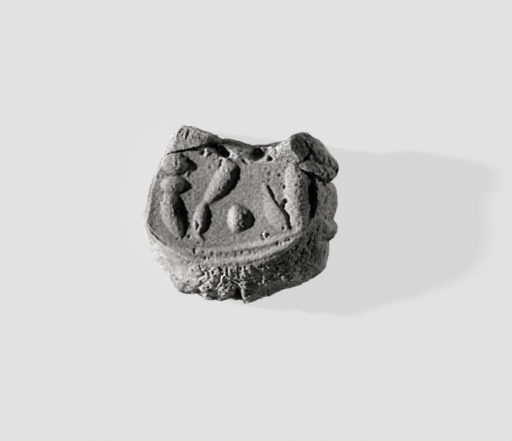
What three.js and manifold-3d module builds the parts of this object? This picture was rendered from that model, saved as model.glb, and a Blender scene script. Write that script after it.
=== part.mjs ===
// A clay bulla: a lump of clay squeezed round a cord and stamped with a seal, lying on its back.
// +X runs right and +Y up across the stamped face, and +Z points out of it. Lengths are in millimetres.
// The masses of clay in the lump are separate solids: a back pad pressed on the thing that was sealed,
// a front pad laid over the cord and stamped, a lobe folded over its corner, a corner flake behind a crack,
// and grits of temper in their pits.
import * as THREE from "three";
import { mergeVertices } from "three/addons/utils/BufferGeometryUtils.js";
import Module from "manifold-3d";

const wasm = await Module();
wasm.setup();

// Driving sizes of the lump
const bullaWidth = 30;
const bullaLength = 27.2;
const widestHeight = 2.4; // level of the widest outline, above the back face
const seamRise = 2.2; // the seam between the pads, above the widest outline
const frontThickness = 5.6; // the front pad, from the seam to the stamped field
const fieldDome = 0.25; // the field stands this much higher in its middle
const jointGap = 0.25; // gap left between masses of clay that broke or folded apart
const cutOverrun = 6; // how far a cutting solid runs past the clay

// Rim of the seal impression
const rimRise = 0.7; // clay squeezed up round the seal, above the field
const grooveDepth = 0.42; // groove between the two ridges of the lower rim
const shoulderDrop = 0.35; // wear on the rim's outer shoulder

// Back pad
const underCut = 2.6; // how far the back face lies inside the widest outline
const ledgeWidth = 0.75; // how far the back pad shows past the front pad, where it shows most
const strandRadius = 1.15; // reed strands that the back was pressed on
const strandBite = 0.26; // depth of their prints
const strandPitch = 2.9;
const strandTurn = 0.12; // radians from +X

// Cord channel, along the seam and then up to the broken edge
const cordRadius = 0.6;
const cordMouthDepth = 1.2; // below the field, where the channel comes out at the broken edge
// The crumbled hole over the seam, where the cord left the foot
const footMouth = { halfWidth: 0.6, halfLength: 0.75, halfHeight: 1.6, rise: 1 };

// Folded lobe
const lobeRise = 3; // its crest above the field
const lobeFootRise = 0.8; // its foot above the seam
const lobeWaistShare = 0.4; // level of its widest outline, from foot to crest

// Corner flake
const flakeDepth = 3.6; // below the field

// Grits of temper
const gritRadius = 0.32;

// Lumps of the crumbled foot
const lumpRadius = 1.15;
const lumpDepthShare = 0.55; // out of the flank
const lumpSunkShare = 0.28;

// Facets
const lumpSides = 112;
const lobeSides = 64;
const formSteps = 10;
const formSides = 18;
const gritSides = 12;
const crumbSides = 12;
const cordSides = 12;
const cordSteps = 24;
const outlineSamples = 480;

// Plan outlines, anticlockwise from +X, as shares of the half width and the half length.
const silhouetteShares = [
  [0.99, 0.1], [0.99, 0.23], [0.94, 0.36], [0.91, 0.52], [0.81, 0.65], [0.655, 0.765], [0.5, 0.8],
  [0.3, 0.79], [0.12, 0.78], [-0.07, 0.83], [-0.22, 0.855], [-0.26, 0.91], [-0.41, 0.955], [-0.55, 0.995],
  [-0.655, 0.945], [-0.735, 0.81], [-0.815, 0.62], [-0.89, 0.41], [-0.94, 0.205], [-0.99, 0], [-0.985, -0.1],
  [-0.94, -0.285], [-0.88, -0.495], [-0.775, -0.625], [-0.705, -0.745], [-0.645, -0.855], [-0.54, -0.9],
  [-0.44, -0.895], [-0.36, -0.955], [-0.19, -0.98], [-0.085, -0.945], [0.045, -1], [0.16, -0.965],
  [0.3, -0.92], [0.48, -0.83], [0.675, -0.77], [0.815, -0.655], [0.89, -0.53], [0.91, -0.34], [0.98, -0.22],
  [0.985, -0.13], [0.955, -0.05],
];
const shoulderShares = [
  [0.79, 0.11], [0.8, 0.3], [0.77, 0.43], [0.68, 0.56], [0.52, 0.66], [0.35, 0.72], [0.15, 0.73],
  [-0.005, 0.765], [-0.13, 0.8], [-0.23, 0.825], [-0.3, 0.9], [-0.41, 0.93], [-0.545, 0.965], [-0.63, 0.92],
  [-0.705, 0.79], [-0.79, 0.6], [-0.865, 0.41], [-0.915, 0.205], [-0.955, 0.015], [-0.965, -0.1],
  [-0.94, -0.185], [-0.85, -0.285], [-0.735, -0.38], [-0.565, -0.455], [-0.38, -0.53], [-0.155, -0.555],
  [0.045, -0.53], [0.22, -0.475], [0.38, -0.415], [0.525, -0.32], [0.665, -0.185], [0.755, -0.02],
];
const fieldShares = [
  [0.715, 0.16], [0.715, 0.3], [0.69, 0.42], [0.61, 0.475], [0.45, 0.53], [0.25, 0.575], [0.065, 0.575],
  [-0.045, 0.615], [-0.145, 0.64], [-0.26, 0.745], [-0.32, 0.775], [-0.51, 0.73], [-0.695, 0.7],
  [-0.765, 0.66], [-0.81, 0.55], [-0.84, 0.43], [-0.87, 0.275], [-0.915, 0.085], [-0.945, -0.105],
  [-0.88, -0.205], [-0.765, -0.3], [-0.6, -0.35], [-0.41, -0.36], [-0.21, -0.345], [0, -0.33],
  [0.18, -0.295], [0.38, -0.23], [0.575, -0.145], [0.695, -0.03],
];
const lobeShares = [
  [1, 0.52], [0.95, 0.63], [0.85, 0.775], [0.735, 0.865], [0.625, 0.92], [0.515, 0.875], [0.43, 0.8],
  [0.37, 0.75], [0.39, 0.665], [0.46, 0.6], [0.555, 0.545], [0.645, 0.54], [0.735, 0.485], [0.8, 0.43],
  [0.88, 0.4], [0.95, 0.385], [0.995, 0.44],
];
const flakeShares = [
  [-0.83, 0.68], [-0.715, 0.705], [-0.615, 0.725], [-0.51, 0.745], [-0.41, 0.77], [-0.32, 0.79],
  [-0.25, 0.82], [-0.17, 0.92], [-0.17, 1.3], [-1.1, 1.3], [-1.1, 0.68],
];

// Levels round the lump, in sixteen even steps anticlockwise from +X.
const rimRiseShares = [-0.9, -0.3, 0.5, 0, -0.6, 1, 1.3, 0.7, 0.4, 0.4, 0.6, 0.8, 0.8, 0.8, 0.8, 0.35];
const grooveShares = [0, 0, 0, 0, 0, 0, 0, 0, 0, 0, 0.3, 1, 1, 1, 1, 0.6];
const ledgeShares = [0.3, 0.15, 0.1, 0.1, 0.1, 0.1, 0.1, 0.05, 0, 0.05, 0.1, 0.4, 0.3, 0.15, 0.6, 1];

// Section of the flank, from the widest level or the seam up to the shoulder.
const flankClimbShares = [0.28, 0.5, 0.7, 0.87];
const flankBulgePower = 1.7;

// The rim inwards from its shoulder: share of the way out from the field, of the rise, and of the groove.
const rimProfileShares = [
  [0.93, 0.7, 0],
  [0.8, 1, 0],
  [0.53, 0.75, 1],
  [0.2, 0.85, 0],
  [0.07, 0.4, 0],
];
const fieldRingShares = [1, 0.8, 0.6, 0.4, 0.2];

// The back pad up from its flat back: share of the under cut, and of the height to the widest outline.
const backProfileShares = [
  [0.45, 0.2],
  [0.15, 0.55],
];

// The lobe from its foot to its waist: share of the climb and of its outline. From there to its crest:
// share of the climb, of its outline, and of the way that it has leaned from its middle to its crest.
const lobeLowerShares = [
  [0, 0.62],
  [0.3, 0.82],
  [0.65, 0.95],
  [1, 1],
];
const lobeUpperShares = [
  [0.13, 0.98, 0.02],
  [0.32, 0.9, 0.1],
  [0.52, 0.77, 0.25],
  [0.7, 0.62, 0.44],
  [0.84, 0.48, 0.62],
  [0.94, 0.34, 0.8],
  [1, 0.16, 1],
];
const lobeMiddleShares = [0.69, 0.655];
const lobeCrestShares = [0.54, 0.72];

// Raised forms that the drilled seal left in the field: the middles of their two round ends, their half
// width and height, and where along its length each is fattest.
const drilledForms = {
  upper_ball: {
    halfWidth: 1.75,
    height: 1.05,
    endShares: [[-0.665, 0.565], [-0.625, 0.565]],
    fattestShare: 0.5,
  },
  lower_ball: {
    halfWidth: 1.4,
    height: 0.85,
    endShares: [[-0.67, 0.33], [-0.635, 0.325]],
    fattestShare: 0.5,
  },
  left_leg: {
    halfWidth: 1.05,
    height: 0.8,
    endShares: [[-0.67, 0.13], [-0.61, -0.105]],
    fattestShare: 0.4,
  },
  neck: {
    halfWidth: 0.7,
    height: 0.55,
    endShares: [[-0.2, 0.63], [-0.135, 0.53]],
    fattestShare: 0.5,
  },
  leaf: {
    halfWidth: 1.3,
    height: 1.1,
    endShares: [[-0.155, 0.5], [-0.3, 0.225]],
    fattestShare: 0.36,
  },
  middle_leg: {
    halfWidth: 0.85,
    height: 0.75,
    endShares: [[-0.375, 0.075], [-0.405, -0.215]],
    fattestShare: 0.5,
  },
  middle_ball: {
    halfWidth: 1.75,
    height: 1.2,
    endShares: [[0.01, -0.035], [0.03, -0.045]],
    fattestShare: 0.5,
  },
  slanting_ridge: {
    halfWidth: 0.95,
    height: 0.55,
    endShares: [[0.285, 0.23], [0.4, -0.02]],
    fattestShare: 0.7,
  },
  right_oval: {
    halfWidth: 1.9,
    height: 1.38,
    endShares: [[0.57, 0.375], [0.6, 0.015]],
    fattestShare: 0.5,
  },
};

// Hollows of the broken edge and the field: half sizes along X, Y and Z, and place.
const hollows = {
  notch_hollow: { halfSizes: [1.4, 1.5, 1.7], centreShares: [-0.215, 0.765] },
  cord_mouth: { halfSizes: [1.1, 1, 1.6], centreShares: [0.165, 0.69] },
  corner_pit: { halfSizes: [0.45, 0.55, 0.7], centreShares: [-0.38, 0.69] },
  right_pit: { halfSizes: [0.32, 0.48, 0.8], centreShares: [0.305, 0.63] },
  oval_pit: { halfSizes: [0.32, 0.64, 1], centreShares: [0.43, 0.11] },
};

// Grits: place, level from the seam to the field, and shares of the radius that each is sunk and stretched.
const grits = {
  grit_by_middle_ball: { centreShares: [0.25, -0.22], levelShare: 1, sunkShare: 0.3, stretchShare: 1 },
  grit_by_broken_edge: { centreShares: [-0.335, 0.71], levelShare: 1, sunkShare: 0.5, stretchShare: 1.15 },
  grit_at_foot: { centreShares: [0.05, -0.935], levelShare: 0, sunkShare: -0.1, stretchShare: 1.3 },
};

// Lumps of the crumbled foot, by the pad that carries them: direction as a share of a turn from +X, place
// up the pad's flank, and shares of the lump's radius along the foot and up the flank.
const frontLumpShares = [
  [0.73, 0.16, 0.95, 1.25],
  [0.711, 0.1, 1.15, 0.85],
  [0.714, 0.33, 0.85, 1],
  [0.68, 0.22, 0.9, 1.3],
  [0.763, 0.2, 1, 0.9],
];
const backLumpShares = [
  [0.644, 0.5, 1.2, 0.9],
  [0.672, 0.72, 1.5, 0.75],
  [0.7, 0.6, 1.3, 0.9],
  [0.728, 0.45, 1.1, 1.1],
  [0.757, 0.65, 1.2, 0.8],
  [0.79, 0.4, 1.4, 1],
];

// The cord's way in plan, and its climb from the seam to its mouth at the broken edge.
const cordPathShares = [
  [-0.04, -1.2, 0],
  [-0.04, -0.85, 0],
  [-0.02, -0.45, 0],
  [0.04, 0, 0.08],
  [0.1, 0.38, 0.4],
  [0.165, 0.69, 1],
];

const seamHeight = widestHeight + seamRise;
const fieldHeight = seamHeight + frontThickness;
const halfWidth = bullaWidth / 2;
const halfLength = bullaLength / 2;
const fullTurn = 2 * Math.PI;
const mix = THREE.MathUtils.lerp;

function place([x, y]) {
  return new THREE.Vector2(x * halfWidth, y * halfLength);
}

// Distance from a centre to a smooth closed outline, in any direction.
function outlineRadius(shares, centre = new THREE.Vector2()) {
  const corners = shares.map(place).map((p) => new THREE.Vector3(p.x - centre.x, p.y - centre.y, 0));
  const points = new THREE.CatmullRomCurve3(corners, true, "centripetal").getPoints(outlineSamples);
  return (angle) => {
    const ray = new THREE.Vector3(Math.cos(angle), Math.sin(angle), 0);
    let reach = 0;
    for (let i = 0; i < outlineSamples; i++) {
      const [a, b] = [points[i], points[i + 1]];
      const sideA = ray.x * a.y - ray.y * a.x;
      const sideB = ray.x * b.y - ray.y * b.x;
      if (sideA * sideB > 0 || sideA === sideB) continue;
      const hit = a.clone().lerp(b, sideA / (sideA - sideB));
      reach = Math.max(reach, ray.dot(hit));
    }
    return reach;
  };
}

// A value given at even steps round the lump, and eased between them.
function roundValue(shares) {
  return (angle) => {
    const at = (angle / fullTurn) * shares.length;
    const low = Math.floor(at);
    const blend = THREE.MathUtils.smoothstep(at - low, 0, 1);
    return mix(shares[low % shares.length], shares[(low + 1) % shares.length], blend);
  };
}

// One closed ring of a loft: its radius and level by direction, about a centre.
function ring(sides, radiusAt, levelAt, centre = new THREE.Vector2()) {
  return Array.from({ length: sides }, (_, i) => {
    const angle = (i / sides) * fullTurn;
    const radius = radiusAt(angle);
    const x = centre.x + radius * Math.cos(angle);
    const y = centre.y + radius * Math.sin(angle);
    return new THREE.Vector3(x, y, levelAt(angle));
  });
}

function middleOf(points) {
  return points.reduce((sum, p) => sum.add(p), new THREE.Vector3()).divideScalar(points.length);
}

// A closed skin over rings that run from the lowest one to the last, with a fan at each end.
function loft(rings) {
  const sides = rings[0].length;
  const points = [...rings.flat(), middleOf(rings[0]), middleOf(rings.at(-1))];
  const firstMiddle = rings.length * sides;
  const lastRing = firstMiddle - sides;
  const index = [];
  for (let j = 0; j < sides; j++) {
    const next = (j + 1) % sides;
    index.push(firstMiddle, next, j);
    for (let start = 0; start < lastRing; start += sides) {
      const [a, b] = [start + j, start + next];
      index.push(a, b, b + sides, a, b + sides, a + sides);
    }
    index.push(firstMiddle + 1, lastRing + j, lastRing + next);
  }
  const geometry = new THREE.BufferGeometry().setFromPoints(points);
  geometry.setIndex(index);
  return geometry;
}

function solidOf(geometry) {
  const bare = geometry.clone();
  bare.deleteAttribute("normal");
  bare.deleteAttribute("uv");
  const merged = mergeVertices(bare);
  return new wasm.Manifold(
    new wasm.Mesh({
      numProp: 3,
      vertProperties: merged.attributes.position.array,
      triVerts: new Uint32Array(merged.index.array),
    }),
  );
}

function geometryOf(solid) {
  const { vertProperties, triVerts } = solid.getMesh();
  const geometry = new THREE.BufferGeometry();
  geometry.setAttribute("position", new THREE.BufferAttribute(vertProperties, 3));
  geometry.setIndex(new THREE.BufferAttribute(triVerts, 1));
  geometry.computeVertexNormals();
  return geometry;
}

const silhouetteAt = outlineRadius(silhouetteShares);
const shoulderAt = outlineRadius(shoulderShares);
const fieldAt = outlineRadius(fieldShares);
const rimRiseAt = roundValue(rimRiseShares);
const grooveAt = roundValue(grooveShares);
const ledgeAt = roundValue(ledgeShares);
const shoulderLevelAt = (angle) => fieldHeight + rimRise * rimRiseAt(angle) - shoulderDrop;

// Radius of the whole lump's flank where it crosses the seam.
function seamRadiusAt(angle) {
  const climb = seamRise / (shoulderLevelAt(angle) - widestHeight);
  return mix(silhouetteAt(angle), shoulderAt(angle), climb ** flankBulgePower);
}

// The pads' flanks: radius and level by direction, and by the climb from the widest outline to the seam, or
// from the seam to the shoulder.
const backFlank = {
  radiusAt: (angle, climb) => mix(silhouetteAt(angle), seamRadiusAt(angle), climb),
  levelAt: (angle, climb) => mix(widestHeight, seamHeight, climb),
};
const frontFlank = {
  radiusAt(angle, climb) {
    const foot = seamRadiusAt(angle) - ledgeWidth * ledgeAt(angle);
    return mix(foot, shoulderAt(angle), climb ** flankBulgePower);
  },
  levelAt: (angle, climb) => mix(seamHeight, shoulderLevelAt(angle), climb),
};

function flankRing({ radiusAt, levelAt }, climb) {
  return ring(lumpSides, (angle) => radiusAt(angle, climb), (angle) => levelAt(angle, climb));
}

// A lump of crumbled clay, partly sunk in a flank.
function flankLump({ radiusAt, levelAt }, [turnShare, climb, alongShare, upShare]) {
  const angle = turnShare * fullTurn;
  const radius = radiusAt(angle, climb) - lumpRadius * lumpSunkShare;
  const geometry = new THREE.SphereGeometry(lumpRadius, crumbSides, crumbSides / 2);
  geometry.scale(lumpDepthShare, alongShare, upShare);
  geometry.rotateZ(angle);
  geometry.translate(radius * Math.cos(angle), radius * Math.sin(angle), levelAt(angle, climb));
  return solidOf(geometry);
}

function backPad() {
  const profile = [[1, 0], ...backProfileShares];
  const lower = profile.map(([cut, climb]) =>
    ring(lumpSides, (angle) => silhouetteAt(angle) - underCut * cut, () => widestHeight * climb),
  );
  const pad = solidOf(loft([...lower, flankRing(backFlank, 0), flankRing(backFlank, 1)]));
  const lumps = backLumpShares.map((shares) => flankLump(backFlank, shares));
  return join(pad, lumps).trimByPlane([0, 0, -1], -seamHeight);
}

function frontPad() {
  const flank = [0, ...flankClimbShares, 1].map((climb) => flankRing(frontFlank, climb));
  const rim = rimProfileShares.map(([out, rise, groove]) =>
    ring(
      lumpSides,
      (angle) => mix(fieldAt(angle), shoulderAt(angle), out),
      (angle) => fieldHeight + rimRise * rimRiseAt(angle) * rise - grooveDepth * grooveAt(angle) * groove,
    ),
  );
  const field = fieldRingShares.map((share) =>
    ring(lumpSides, (angle) => fieldAt(angle) * share, () => fieldHeight + fieldDome * (1 - share ** 2)),
  );
  const pad = solidOf(loft([...flank, ...rim, ...field]));
  const lumps = frontLumpShares.map((shares) => flankLump(frontFlank, shares));
  return join(pad, lumps).trimByPlane([0, 0, 1], seamHeight);
}

// A raised form of the impression: an egg or spindle laid between two ends and half sunk in the field.
function drilledForm({ halfWidth: halfWide, height, endShares, fattestShare }) {
  const [start, end] = endShares.map(place);
  const along = end.clone().sub(start);
  const reach = along.length() / 2 + halfWide;
  const profile = Array.from({ length: formSteps + 1 }, (_, i) => {
    const t = (1 - Math.cos((Math.PI * i) / formSteps)) / 2;
    const lean = t < fattestShare ? t / fattestShare / 2 : 1 - (1 - t) / (1 - fattestShare) / 2;
    return new THREE.Vector2(halfWide * 2 * Math.sqrt(lean * (1 - lean)), (2 * t - 1) * reach);
  });
  const geometry = new THREE.LatheGeometry(profile, formSides);
  geometry.scale(1, 1, height / halfWide);
  geometry.rotateZ(Math.atan2(along.y, along.x) - Math.PI / 2);
  const middle = start.lerp(end, 1 / 2);
  geometry.translate(middle.x, middle.y, fieldHeight);
  return solidOf(geometry);
}

function egg(halfSizes, centre, sides) {
  const geometry = new THREE.SphereGeometry(1, sides, sides / 2);
  geometry.scale(...halfSizes);
  geometry.translate(centre.x, centre.y, centre.z);
  return solidOf(geometry);
}

function hollow({ halfSizes, centreShares }) {
  const at = place(centreShares);
  return egg(halfSizes, new THREE.Vector3(at.x, at.y, fieldHeight), formSides);
}

function grit({ centreShares, levelShare, sunkShare, stretchShare }, gap = 0) {
  const at = place(centreShares);
  const surface = mix(seamHeight, fieldHeight + fieldDome, levelShare);
  const halfSizes = [gritRadius + gap, gritRadius * stretchShare + gap, gritRadius + gap];
  return egg(halfSizes, new THREE.Vector3(at.x, at.y, surface - gritRadius * sunkShare), gritSides);
}

function cordChannel() {
  const path = new THREE.CatmullRomCurve3(
    cordPathShares.map(([x, y, climb]) => {
      const at = place([x, y]);
      return new THREE.Vector3(at.x, at.y, mix(seamHeight, fieldHeight - cordMouthDepth, climb));
    }),
  );
  const section = new THREE.Shape(
    Array.from({ length: cordSides }, (_, i) => {
      const angle = (i / cordSides) * fullTurn;
      return new THREE.Vector2(cordRadius * Math.cos(angle), cordRadius * Math.sin(angle));
    }),
  );
  const options = { extrudePath: path, steps: cordSteps, bevelEnabled: false };
  return solidOf(new THREE.ExtrudeGeometry(section, options));
}

// The crumbled hole where the cord left the foot of the front pad.
function footHole() {
  const at = place(cordPathShares[1]);
  const centre = new THREE.Vector3(at.x, at.y, seamHeight + footMouth.rise);
  return egg([footMouth.halfWidth, footMouth.halfLength, footMouth.halfHeight], centre, formSides);
}

// The folded lobe, or with a gap the pocket that holds it.
function foldedLobe(gap = 0) {
  const middle = place(lobeMiddleShares);
  const crest = place(lobeCrestShares);
  const edgeAt = outlineRadius(lobeShares, middle);
  const footLevel = seamHeight + lobeFootRise;
  const crestLevel = fieldHeight + lobeRise;
  const waistLevel = mix(footLevel, crestLevel, lobeWaistShare);
  const lobeRing = (share, height, centre) =>
    ring(lobeSides, (angle) => edgeAt(angle) * share + gap, () => height, centre);
  const lower = lobeLowerShares.map(([climb, share]) =>
    lobeRing(share, mix(footLevel - gap, waistLevel, climb), middle),
  );
  const upper = lobeUpperShares.map(([climb, share, lean]) =>
    lobeRing(share, mix(waistLevel, crestLevel + gap, climb), middle.clone().lerp(crest, lean)),
  );
  return solidOf(loft([...lower, ...upper]));
}

// A prism over the flake's plan that cuts it out of the front pad, or with a gap cuts the flake itself.
function flakePrism(gap = 0) {
  const plan = new THREE.Shape(flakeShares.map(place));
  const options = { depth: flakeDepth + rimRise + cutOverrun, bevelEnabled: false };
  const geometry = new THREE.ExtrudeGeometry(plan, options);
  geometry.translate(-gap, gap, fieldHeight - flakeDepth + gap);
  return solidOf(geometry);
}

// The print of one reed strand across the flat back.
function strandPrint(offset) {
  const geometry = new THREE.CylinderGeometry(strandRadius, strandRadius, bullaWidth + cutOverrun, formSides);
  geometry.rotateZ(Math.PI / 2 + strandTurn);
  geometry.translate(0, offset, strandBite - strandRadius);
  return solidOf(geometry);
}

function strandPrints() {
  const half = Math.floor(halfLength / strandPitch);
  return Array.from({ length: 2 * half }, (_, i) => strandPrint((i - half + 1 / 2) * strandPitch));
}

const join = (solid, others) => others.reduce((sum, other) => sum.add(other), solid);
const cut = (solid, others) => others.reduce((rest, other) => rest.subtract(other), solid);

const channel = cordChannel();
const gritPits = Object.values(grits).map((site) => grit(site, jointGap));
const raised = join(frontPad(), Object.values(drilledForms).map(drilledForm));
const stamped = cut(raised, [
  ...Object.values(hollows).map(hollow),
  ...gritPits,
  channel,
  footHole(),
  foldedLobe(jointGap),
]);

const clay = new THREE.MeshStandardMaterial({ color: 0xb4b1ab, roughness: 0.95, metalness: 0 });
const backClay = new THREE.MeshStandardMaterial({ color: 0xc2bfb8, roughness: 0.95, metalness: 0 });
const temper = new THREE.MeshStandardMaterial({ color: 0xd8d5cd, roughness: 0.85, metalness: 0 });

const bulla = new THREE.Group();

function addPiece(name, solid, material) {
  const mesh = new THREE.Mesh(geometryOf(solid), material.clone());
  mesh.name = name;
  bulla.add(mesh);
}

addPiece("back_clay_pad", cut(backPad(), [...strandPrints(), ...gritPits, channel]), backClay);
addPiece("front_clay_pad", stamped.subtract(flakePrism()), clay);
addPiece("folded_clay_lobe", foldedLobe(), clay);
addPiece("cracked_corner_flake", stamped.intersect(flakePrism(jointGap)), clay);
for (const [name, site] of Object.entries(grits)) addPiece(name, grit(site), temper);

// The origin lies under the middle of the whole outline.
const outer = new THREE.Box3().setFromObject(bulla);
const outerMiddle = outer.getCenter(new THREE.Vector3());
bulla.position.set(-outerMiddle.x, -outerMiddle.y, -outer.min.z);

export default bulla;
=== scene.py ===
"""The looks of a clay bulla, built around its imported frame.

Each mass of clay is copied from its CAD node, fitted to the fine outline, sculpted and textured.
The sculpting works in millimetres, with places on the stamped side read in pixels of the photograph.
The last step of each piece turns it into metres.
"""

import itertools
import math

import bmesh
import bpy
import numpy as np
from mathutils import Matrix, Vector


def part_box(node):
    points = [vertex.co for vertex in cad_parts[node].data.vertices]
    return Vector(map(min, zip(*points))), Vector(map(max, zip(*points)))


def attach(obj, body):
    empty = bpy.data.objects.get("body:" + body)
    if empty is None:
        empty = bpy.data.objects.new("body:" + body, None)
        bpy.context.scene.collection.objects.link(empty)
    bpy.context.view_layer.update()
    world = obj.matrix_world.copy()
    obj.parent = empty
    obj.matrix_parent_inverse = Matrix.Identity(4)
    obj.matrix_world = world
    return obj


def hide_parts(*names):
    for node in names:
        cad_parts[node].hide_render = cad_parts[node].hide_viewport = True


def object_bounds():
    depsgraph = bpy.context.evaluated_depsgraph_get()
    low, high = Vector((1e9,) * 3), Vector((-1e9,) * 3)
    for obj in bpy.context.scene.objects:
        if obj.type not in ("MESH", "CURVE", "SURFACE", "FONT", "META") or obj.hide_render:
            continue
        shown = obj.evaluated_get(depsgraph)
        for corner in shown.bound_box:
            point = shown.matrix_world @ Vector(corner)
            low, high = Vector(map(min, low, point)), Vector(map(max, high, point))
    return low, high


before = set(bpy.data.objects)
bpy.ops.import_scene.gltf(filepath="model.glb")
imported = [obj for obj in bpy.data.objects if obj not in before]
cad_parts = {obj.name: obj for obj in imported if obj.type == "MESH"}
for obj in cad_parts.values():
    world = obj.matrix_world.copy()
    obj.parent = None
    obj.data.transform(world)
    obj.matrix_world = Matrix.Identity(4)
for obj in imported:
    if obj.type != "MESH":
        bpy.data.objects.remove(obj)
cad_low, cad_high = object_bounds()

METRES = 0.001  # one millimetre

# The photograph, in pixels: its size, and the box of the object in it
PHOTO_WIDTH, PHOTO_HEIGHT = 512, 441
LEFT, RIGHT, TOP, BOTTOM = 142, 339, 125, 304
MIDDLE_U, MIDDLE_V = (LEFT + RIGHT) / 2, (TOP + BOTTOM) / 2
PIXEL = (cad_high.x - cad_low.x) / METRES / (RIGHT - LEFT)  # in millimetres

# Levels above the back, in millimetres, from the frame
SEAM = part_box("front_clay_pad")[0].z / METRES
FIELD_RISE = 5.6  # from the seam to the stamped field at its edge
FIELD = SEAM + FIELD_RISE

# Mesh fineness, in millimetres
COARSE = 0.22
FINE = 0.13
FINE_BACK = 0.16
FINE_GRIT = 0.05
WELD = 0.001

# Outline of the whole lump, clockwise from the corner flake
OUTLINE = [
    (181, 126), (190, 126), (200, 129), (209, 132), (216, 134), (219, 138), (230, 139), (240, 142),
    (250, 144), (255, 145.5), (262, 145), (270, 144), (280, 142), (287, 140), (290, 136), (296, 133),
    (302, 132), (308, 133), (313, 137), (319, 140), (323, 144), (328, 151), (333, 157), (337, 161),
    (339, 168), (338, 175), (333, 180), (334, 184), (337, 190), (338, 198), (338, 206), (337, 212),
    (334, 219), (338, 225), (338, 230), (335, 237), (330, 240), (330, 250), (329, 257), (327, 266),
    (323, 271), (318, 275), (312, 279), (308, 283), (300, 286), (291, 288), (283, 290), (275, 294),
    (270, 297), (266, 296), (262, 299), (256, 301), (250, 303), (245, 304), (242, 301), (236, 301),
    (230, 299), (222, 302), (215, 300), (209, 301), (204, 300), (200, 296), (196, 294), (189, 295),
    (183, 294), (178, 292), (175, 288), (171, 281), (166, 273), (160, 267), (154, 259), (150, 250),
    (148, 240), (147, 232), (143, 222), (143, 215), (146, 205), (148, 195), (151, 185), (154, 175),
    (158, 163), (162, 155), (166, 146), (170, 138), (175, 131),
]

# Outside the stamped top the flank rounds off over some pixels, then falls at a steady slope
EDGE_LEVEL = 0.3  # millimetres above the field
EDGE_SLOPE = 0.85
EDGE_ROUND = 4.0

# Edge of the stamped top, where the flank begins
SHOULDER = [
    (164, 156), (172, 151.6), (180, 150), (195, 147.2), (206, 144), (211, 140), (218, 136.5), (230, 137.5),
    (240, 140.5), (250, 142.5), (262, 143), (275, 144), (284, 158), (296, 165), (304, 168), (310, 173),
    (314.5, 181), (316.5, 192), (317, 205), (315, 217), (308, 230), (297, 241.5), (287, 250), (276, 258),
    (262, 263), (245, 266.5), (225, 267.5), (203, 265.5), (188, 260), (172, 251), (160, 243), (152, 234),
    (145.5, 224), (147.5, 215), (149, 205), (151, 195), (154, 185), (156.5, 173), (159.5, 162),
]

# The folded lobe: where its crest runs, how high it stands, and how steeply it falls to the left
LOBE_ROWS = [132, 140, 150, 157, 162, 172, 182]
LOBE_CREST_U = [286, 289, 291.5, 297, 305, 310, 317]
LOBE_CREST_LEVEL = [2, 2.5, 2.5, 1.9, 1.1, 0.6, 0.2]  # above the field
LOBE_LEFT_SLOPE = [1.15, 1.15, 1.15, 1, 0.4, 0.3, 0.3]
LOBE_SLANT = 0.95  # pixels from the crest, for each pixel along u
LOBE_FALL = [(0, 0), (4, 0.5), (12, 1.05), (24, 1.75), (36, 2.5), (48, 3.3)]  # pixels, millimetres
LOBE_STROKES = [
    [(294, 165, 1.2, -0.2), (299, 163, 1.5, -0.35), (305, 159, 2.5, -0.45), (309, 154, 1.2, -0.2)],
    [(321, 177, 1, -0.08), (323, 172, 1.1, -0.14), (325.5, 168.5, 1.2, -0.16), (329, 167, 1.2, -0.16),
     (333, 170, 1.1, -0.14), (336.5, 174, 1, -0.1)],
    [(308, 173, 4, -0.15), (316, 179, 5, -0.45), (324, 182, 5, -0.6), (332, 183, 4, -0.4)],
    [(300, 166, 1.5, 0.06), (307, 170, 1.5, 0.1), (315, 178, 1.5, 0.06)],
    [(326, 173, 4, 0.15), (332, 175, 4, 0.2)],
]

# Where the seam between the pads shows: direction in degrees anticlockwise from +X, share
SEAM_DIRECTIONS = [-180, -140, -132, -84, -70, -44, -38, -18, -12, 180]
SEAM_SHARES = [0, 0, 0.6, 0.6, 0, 0, 0.5, 0.5, 0, 0]

# Swept forms are lists of (u, v, half width in pixels, rise in millimetres).
# Each motif has the power of its section, from 0.5 for an oval to 1 for a parabola, and its lean: the share
# that its right side is narrower by.
MOTIFS = {
    "left_leg": (0.75, 0.25, [
        (172.5, 196, 7, 0.34), (172.5, 204, 9, 0.57), (173.5, 213, 9.5, 0.64), (177, 223, 8.5, 0.57),
        (180.5, 232, 5.5, 0.34)]),
    "neck": (0.8, 0, [(226, 159, 4.5, 0.32), (227.5, 165, 6, 0.41), (229, 170, 7.5, 0.54)]),
    "leaf": (0.85, 0, [
        (229.5, 168.5, 8, 0.58), (225.8, 175.5, 10, 0.72), (219.8, 185.5, 10, 0.72),
        (212.5, 195, 7.2, 0.54), (207.5, 201, 4.2, 0.29)]),
    "middle_leg": (0.7, 0.2, [
        (205, 205, 4.2, 0.24), (203, 211, 5.8, 0.45), (201.5, 219, 6.6, 0.56), (200.3, 226, 6.2, 0.48),
        (199.7, 231.5, 4, 0.22)]),
    "toe": (0.8, 0.2, [(194, 230, 2.2, 0.16), (199, 235.5, 3, 0.24), (203, 239, 2.6, 0.17)]),
    "slanting_ridge": (0.8, 0.5, [
        (266.5, 186, 3, 0.2), (271, 194.5, 5.5, 0.26), (275, 203, 8, 0.34), (280.5, 211.5, 10.5, 0.56),
        (284.5, 219, 9, 0.54), (287, 225, 4.5, 0.22)]),
    "right_oval": (0.72, 0.2, [
        (295, 169, 7, 0.54), (297.3, 177, 11, 0.85), (298, 187, 12.3, 0.95), (298.5, 198, 12.6, 0.97),
        (299.3, 209, 12.3, 0.9), (300.3, 218, 10.5, 0.72), (301, 225, 6, 0.32)]),
}

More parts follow.
